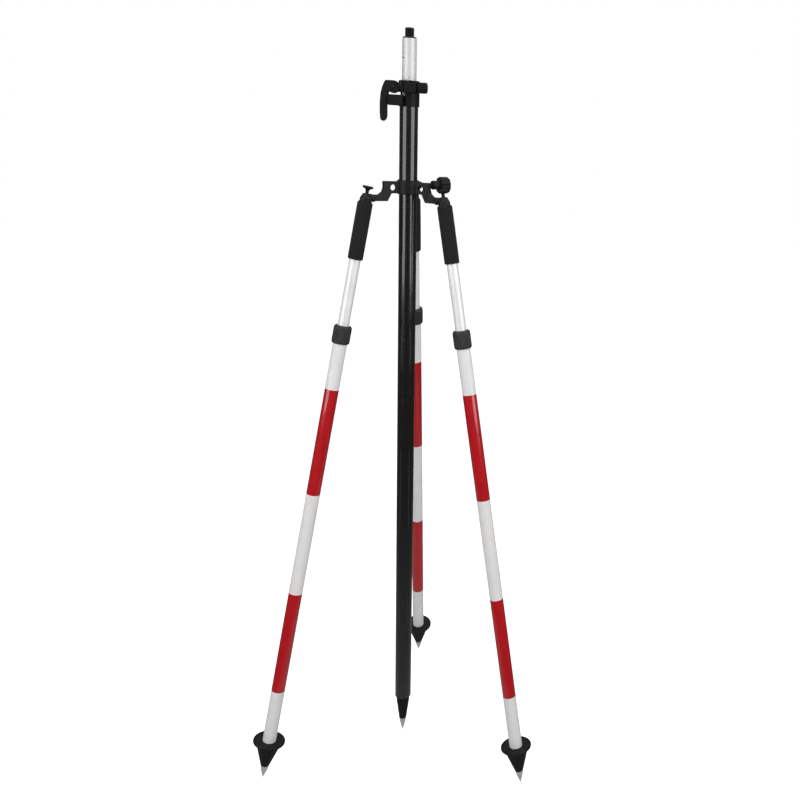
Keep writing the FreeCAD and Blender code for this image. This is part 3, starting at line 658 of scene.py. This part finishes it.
def build_knob():
    turn = JOINTS["knob_turn"]
    axis = Axis(turn["pos_m"], turn["axis"], UP)
    low, high = axis.span("clamp_knob")
    r = axis.radius("clamp_knob")
    cut = 1.7 * MM
    collar = axis.radius("clamp_knob", low, low + 1 * MM)
    face = low + 11.6 * MM
    turned("head_knob", axis, [
        (4.05 * MM, low), (collar, low, 0.8 * MM), (collar, face - 1.5 * MM),
        (collar + 1.2 * MM, face + 0.2 * MM, 1 * MM),
        (r - 0.9 * MM, face + 1.6 * MM, 0.8 * MM, cut * 0.6), (r, face + 3 * MM, 0.8 * MM, cut),
        (r, (face + high) / 2, 0, cut), (r, high - 2.4 * MM, 1.2 * MM, cut),
        (r - 1.4 * MM, high - 0.4 * MM, 0.9 * MM, cut * 0.4), (r - 4 * MM, high, 0.7 * MM),
        (r - 6 * MM, high - 0.8 * MM, 0.5 * MM), (0, high - 1.0 * MM),
    ], "clamp_knob", "black_nylon", ("clamp_knob",), segments=180, pattern=flutes(10, 1.3))

    low, high = axis.span("clamp_screw")
    r = axis.radius("clamp_screw")
    pitch = 1.25 * MM
    knob = axis.span("clamp_knob")[0]

    def thread(angle, height):
        turn = height / pitch - angle / TURN
        return abs((turn % 1.0) - 0.5) * 2

    start, end = low + 0.6 * MM, knob + 1 * MM
    rows = int((end - start) / pitch * 8)
    threaded = [(r, start + (end - start) * k / rows, 0.0, 0.65 * MM) for k in range(rows + 1)]
    turned("head_screw", axis, [(0, low), (r - 0.8 * MM, low), *threaded, (r, high), (0, high)],
           "clamp_knob", "black_oxide", ("clamp_screw",), segments=48, pattern=thread, sharp=60)


# ---------------------------------------------------------------- legs

def build_leg(side):
    leg = LEGS[side][0]
    upper, button, lower = "leg_" + side, "leg_%s_button" % side, "leg_%s_lower" % side

    def name(part):
        return side + "_" + part

    moulded(name("leg_cap"), name("leg_head"), upper, "head_casting", 0.3 * MM, 6)
    inner = tube(name("leg_inner"), leg, name("inner_tube"), 1.5 * MM, upper, "bright_aluminium")
    inner.data.materials[0] = MATERIALS["leg_aluminium"]
    tube(name("leg_outer"), leg, name("outer_tube"), 1.2 * MM, lower, "white_enamel")

    build_grip(side, leg, upper)
    build_bands(side, leg, lower)
    build_collar(side, leg, lower)
    build_button(side, leg, button)
    build_foot(side, leg, lower)


def build_grip(side, leg, body):
    """A foam sleeve: slightly waisted, bulging a little where it is squeezed on, ends rounded."""
    node = side + "_foam_grip"
    low, high = leg.span(node)
    r = leg.radius(node)
    bore = 10.02 * MM
    rows = 44
    seed = 10.0 * SIDES.index(side)
    skin = []
    for k in range(rows + 1):
        t = k / rows
        h = low + 2.6 * MM + (high - low - 6.6 * MM) * t
        swell = 0.10 * MM * math.sin(t * math.pi) - 0.12 * MM
        skin.append((r + swell, h, 0.0, 0.0))
    points = [(bore, low + 0.3 * MM, 0.3 * MM), (r - 1.2 * MM, low, 0.6 * MM),
              (r - 0.2 * MM, low + 1.2 * MM, 0.9 * MM), *skin,
              (r - 1.0 * MM, high - 1.8 * MM, 1.6 * MM), (r - 2.6 * MM, high, 0.9 * MM),
              (bore, high - 0.2 * MM, 0.3 * MM)]
    mesh = turned_mesh(side + "_grip", leg, points, closed=True, segments=96)
    for vertex in mesh.vertices:
        height = (vertex.co - leg.origin).dot(leg.along)
        spoke = vertex.co - leg.origin - leg.along * height
        if spoke.length > bore + 1 * MM:
            lump = noise.noise(vertex.co * 160 + Vector((seed, 0, 0))) * 0.10 * MM
            vertex.co += spoke.normalized() * (lump - 0.08 * MM)
    obj = add_object(side + "_grip", mesh, body, "black_foam", (node,), 60)


def build_bands(side, leg, body):
    """The two red bands, thin film over the white enamel with slightly rounded ends."""
    node = side + "_red_bands"
    heights = sorted(set(round(h, 4) for h in leg.heights(node)))
    tube_radius = leg.radius(side + "_outer_tube")
    film = 0.07 * MM
    meshes = []
    for low, high in (heights[0:2], heights[-2:]):
        rows = 4
        skin = [(tube_radius + film, low + (high - low) * k / rows) for k in range(1, rows)]
        meshes.append(turned_mesh("band", leg, [
            (tube_radius - 0.02 * MM, low), (tube_radius + film, low, 0.06 * MM), *skin,
            (tube_radius + film, high, 0.06 * MM), (tube_radius - 0.02 * MM, high),
        ], closed=True))
    add_object(side + "_bands", joined_mesh(side + "_bands", meshes), body, "red_enamel", (node,))


def build_collar(side, leg, body):
    """The moulded collar at the outer tube's mouth: a ribbed waist between two plain rings."""
    node = side + "_leg_collar"
    low, high = leg.span(node)
    r = leg.radius(node)
    tube_radius = leg.radius(side + "_outer_tube")
    tube_top = leg.span(side + "_outer_tube")[1]
    rod = leg.radius(side + "_inner_tube") + 0.05 * MM
    cut = 0.55 * MM
    collar = turned(side + "_collar", leg, [
        (tube_radius, low + 0.3 * MM, 0.2 * MM), (tube_radius + 1.2 * MM, low, 0.5 * MM),
        (r - 0.7 * MM, low + 1.2 * MM, 1.2 * MM), (r - 0.1 * MM, low + 4.0 * MM, 1 * MM),
        (r - 0.1 * MM, low + 6.5 * MM, 0.3 * MM), (r, low + 7.5 * MM, 0.3 * MM, cut),
        (r, (low + high) / 2, 0, cut), (r, high - 8.5 * MM, 0.3 * MM, cut),
        (r - 0.1 * MM, high - 7.5 * MM, 0.3 * MM), (r - 0.1 * MM, high - 4 * MM, 1 * MM),
        (r - 1.0 * MM, high - 1.4 * MM, 1.2 * MM), (r - 3.2 * MM, high, 0.9 * MM),
        (rod + 0.8 * MM, high, 0.3 * MM), (rod, high - 0.8 * MM, 0.2 * MM), (rod, tube_top),
        (tube_radius, tube_top),
    ], body, "black_nylon", (node,), closed=True, segments=240, pattern=flutes(40, 0.8))
    collar.data.materials[0] = MATERIALS["collar_nylon"]


def build_button(side, leg, body):
    """The thumb release: a dished mushroom button on its stem."""
    node = side + "_thumb_button"
    low, high = leg.span(node)
    r = leg.radius(node)
    turned(side + "_button", leg, [
        (2.0 * MM, low), (3.0 * MM, low, 0.2 * MM), (3.0 * MM, high - 8.0 * MM, 0.8 * MM),
        (5.4 * MM, high - 4.9 * MM, 1.0 * MM), (r - 0.8 * MM, high - 4.2 * MM, 1.2 * MM),
        (r, high - 3.4 * MM, 0.5 * MM, 0.25 * MM), (r, high - 2.2 * MM, 0.5 * MM, 0.25 * MM),
        (r - 0.9 * MM, high - 0.4 * MM, 0.7 * MM), (r - 2.0 * MM, high, 0.7 * MM),
        (r - 4.2 * MM, high - 0.7 * MM, 1.5 * MM), (0, high - 1.0 * MM),
    ], body, "black_nylon", (node,), segments=144, pattern=flutes(36), sharp=45)


def build_foot(side, leg, body):
    """The moulded foot: a dished tread plate over a cone, gripping the steel spike."""
    node = side + "_foot_boot"
    low, high = leg.span(node)
    plate = leg.radius(node)
    tube_radius = leg.radius(side + "_outer_tube")
    socket = leg.span(side + "_outer_tube")[0]
    spike_high = leg.span(side + "_foot_spike")[1]
    cone = 24 * MM
    nose = leg.radius(node, low - 0.1 * MM, low + 0.1 * MM)
    turned(side + "_foot", leg, [
        (4.02 * MM, low), (nose - 0.5 * MM, low, 0.3 * MM), (nose, low + 0.7 * MM, 0.4 * MM),
        (nose + 0.55 * (cone - nose), low + 0.55 * (high - 4 * MM - low), 0),
        (cone, high - 4.0 * MM, 1.4 * MM), (plate - 3.4 * MM, high - 3.4 * MM, 0.6 * MM),
        (plate - 1.0 * MM, high - 4.0 * MM, 0.7 * MM), (plate, high - 2.4 * MM, 1.2 * MM),
        (plate - 0.6 * MM, high, 0.9 * MM), (plate - 2.8 * MM, high - 0.1 * MM, 0.6 * MM),
        (plate - 4.2 * MM, high - 1.3 * MM, 0.6 * MM),
        (tube_radius + 3.0 * MM, high - 1.3 * MM, 0.8 * MM),
        (tube_radius + 1.6 * MM, high - 0.1 * MM, 0.5 * MM), (tube_radius + 0.02 * MM, high - 0.1 * MM),
        (tube_radius, socket), (0, socket), (0, spike_high), (4.02 * MM, spike_high),
    ], body, "foot_casting", (node,), closed=False, segments=120)

    node = side + "_foot_spike"
    low, high = leg.span(node)
    base = leg.span(side + "_foot_boot")[0]
    r = leg.radius(node)
    turned(side + "_spike", leg, [
        *ogive(low, base, r), (r, base - 0.15 * MM, 0.1 * MM), (4.0 * MM, base),
        (4.0 * MM, high), (0, high),
    ], body, "ground_steel", (node,), segments=72)


# ---------------------------------------------------------------- studio

def area_light(name, place, target, width, height, watts, colour=(1, 1, 1)):
    data = bpy.data.lights.new(name, "AREA")
    data.shape = "RECTANGLE"
    data.size, data.size_y = width, height
    data.energy = watts
    data.color = colour
    obj = bpy.data.objects.new(name, data)
    bpy.context.scene.collection.objects.link(obj)
    obj.location = place
    direction = Vector(target) - Vector(place)
    obj.rotation_mode = "QUATERNION"
    obj.rotation_quaternion = direction.to_track_quat("-Z", "Y")
    return obj


def build_studio():
    scene = bpy.context.scene
    scene.view_settings.view_transform = "Standard"
    scene.view_settings.look = "None"

    world = bpy.data.worlds.new("studio")
    scene.world = world
    world.use_nodes = True
    tree = world.node_tree
    tree.nodes.clear()

    def node(kind):
        return tree.nodes.new(kind)

    place, split = node("ShaderNodeTexCoord"), node("ShaderNodeSeparateXYZ")
    tree.links.new(place.outputs["Generated"], split.inputs[0])
    stretch = node("ShaderNodeMapRange")
    stretch.inputs["From Min"].default_value = -1.0
    tree.links.new(split.outputs["Z"], stretch.inputs["Value"])
    ramp = node("ShaderNodeValToRGB")
    stops = ((0.0, 0.3), (0.2, 0.24), (0.29, 0.05), (0.58, 0.08), (0.8, 0.7), (1.0, 0.9))
    elements = ramp.color_ramp.elements
    while len(elements) < len(stops):
        elements.new(0.5)
    for element, (position, grey) in zip(elements, stops):
        element.position = position
        element.color = (grey, grey, grey, 1)
    tree.links.new(stretch.outputs[0], ramp.inputs[0])
    room, soft, backdrop = (node("ShaderNodeBackground") for _ in range(3))
    tree.links.new(ramp.outputs[0], room.inputs["Color"])
    soft.inputs["Color"].default_value = (0.45, 0.45, 0.45, 1)
    backdrop.inputs["Color"].default_value = (1, 1, 1, 1)
    path, output = node("ShaderNodeLightPath"), node("ShaderNodeOutputWorld")
    surface = room
    for ray, light in (("Is Diffuse Ray", soft), ("Is Camera Ray", backdrop)):
        mix = node("ShaderNodeMixShader")
        tree.links.new(path.outputs[ray], mix.inputs[0])
        tree.links.new(surface.outputs[0], mix.inputs[1])
        tree.links.new(light.outputs[0], mix.inputs[2])
        surface = mix
    tree.links.new(surface.outputs[0], output.inputs[0])

    # two tall softboxes beside the camera, one large overhead one
    for name, bearing, watts in (("key", -53, 16), ("fill", 53, 16)):
        heading = math.radians(-83 + bearing)
        spot = Vector((math.cos(heading), math.sin(heading), 0)) * 1.7
        area_light(name, (spot.x, spot.y, 1.45), (0, 0, 1.2), 1.3, 1.7, watts)
    area_light("overhead", (0.3, -0.6, 3.2), (0, 0, 0.9), 2.4, 2.4, 14)
    # a broad matt glow from the front, which leaves no streak on the glossy tubes
    front = area_light("front", (0.1, -2.6, 1.3), (0, 0, 0.6), 2.0, 1.6, 10)
    front.visible_glossy = False

    mesh = bpy.data.meshes.new("floor")
    rim = [TURN * k / 64 for k in range(64)]
    verts = [(9.0 * math.cos(a), 9.0 * math.sin(a), -0.0005) for a in rim]
    mesh.from_pydata(verts, [], [tuple(range(len(rim)))])
    floor = bpy.data.objects.new("floor", mesh)
    scene.collection.objects.link(floor)
    mesh.materials.append(floor_paper("floor_paper"))
    floor.visible_glossy = False
    floor.visible_diffuse = False


def build_camera():
    """The viewing angle: a little above the head's height, looking down and to the left."""
    data = bpy.data.cameras.new("camera")
    camera = bpy.data.objects.new("camera", data)
    bpy.context.scene.collection.objects.link(camera)
    data.sensor_width = 36.0
    data.lens = 38.25
    data.shift_x, data.shift_y = -0.1875, -0.061
    data.clip_end = 60.0
    heading, fall, roll = (math.radians(a) for a in (2.621, 14.487, 3.084))
    turn = (Matrix.Rotation(-heading, 3, "Z") @ Matrix.Rotation(math.pi / 2 - fall, 3, "X")
            @ Matrix.Rotation(roll, 3, "Z"))
    camera.matrix_world = Matrix.Translation((0.1973, -1.5436, 1.2356)) @ turn.to_4x4()
    bpy.context.scene.camera = camera


# ---------------------------------------------------------------- assembly

def finish_cad_nodes():
    """CAD nodes that stay in view take the same procedural finishes as the pieces."""
    for part in frame["record"]["subparts"]:
        obj = NODES[part["node"]]
        obj.data.materials.clear()
        obj.data.materials.append(MATERIALS[part["material_slot"]])
        for polygon in obj.data.polygons:
            polygon.material_index = 0


finish_cad_nodes()
build_pole()
build_stud()
build_clamp()
build_head()
for leg_side in SIDES:
    build_leg(leg_side)
build_studio()
build_camera()
